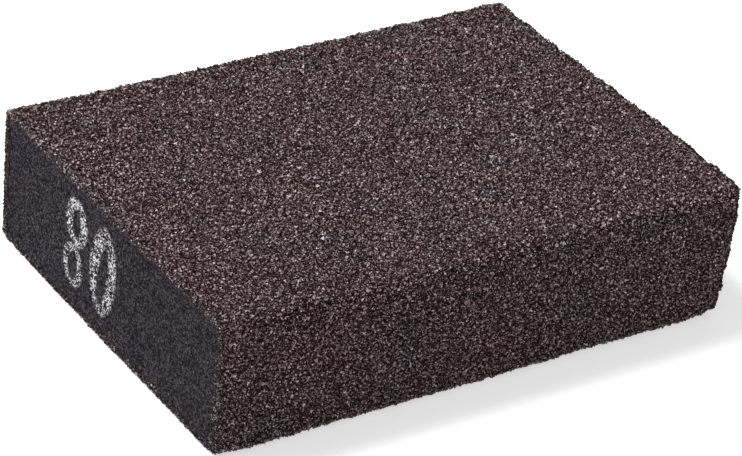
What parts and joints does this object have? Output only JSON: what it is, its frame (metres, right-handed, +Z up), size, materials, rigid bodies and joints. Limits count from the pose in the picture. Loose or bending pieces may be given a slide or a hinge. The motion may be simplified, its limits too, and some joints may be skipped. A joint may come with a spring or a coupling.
{
  "type": "sanding sponge",
  "caption": "Rectangular hand sanding sponge: a firm foam block with a coarse abrasive coat around its long faces, and bare foam ends.",
  "frame": {"origin": "middle of the underside, on the surface that the block lies on", "axes": "+X along the block, away from the printed bare end; +Y across it; +Z up"},
  "size_m": [0.1, 0.075, 0.025],
  "materials": {
    "foam": "matte, fine open cells, charcoal",
    "grit": "rough, dark brown-grey abrasive grains in resin"
  },
  "bodies": {
    "root": {"foam_block": "foam", "grit_coat": "grit"}
  },
  "joints": []
}
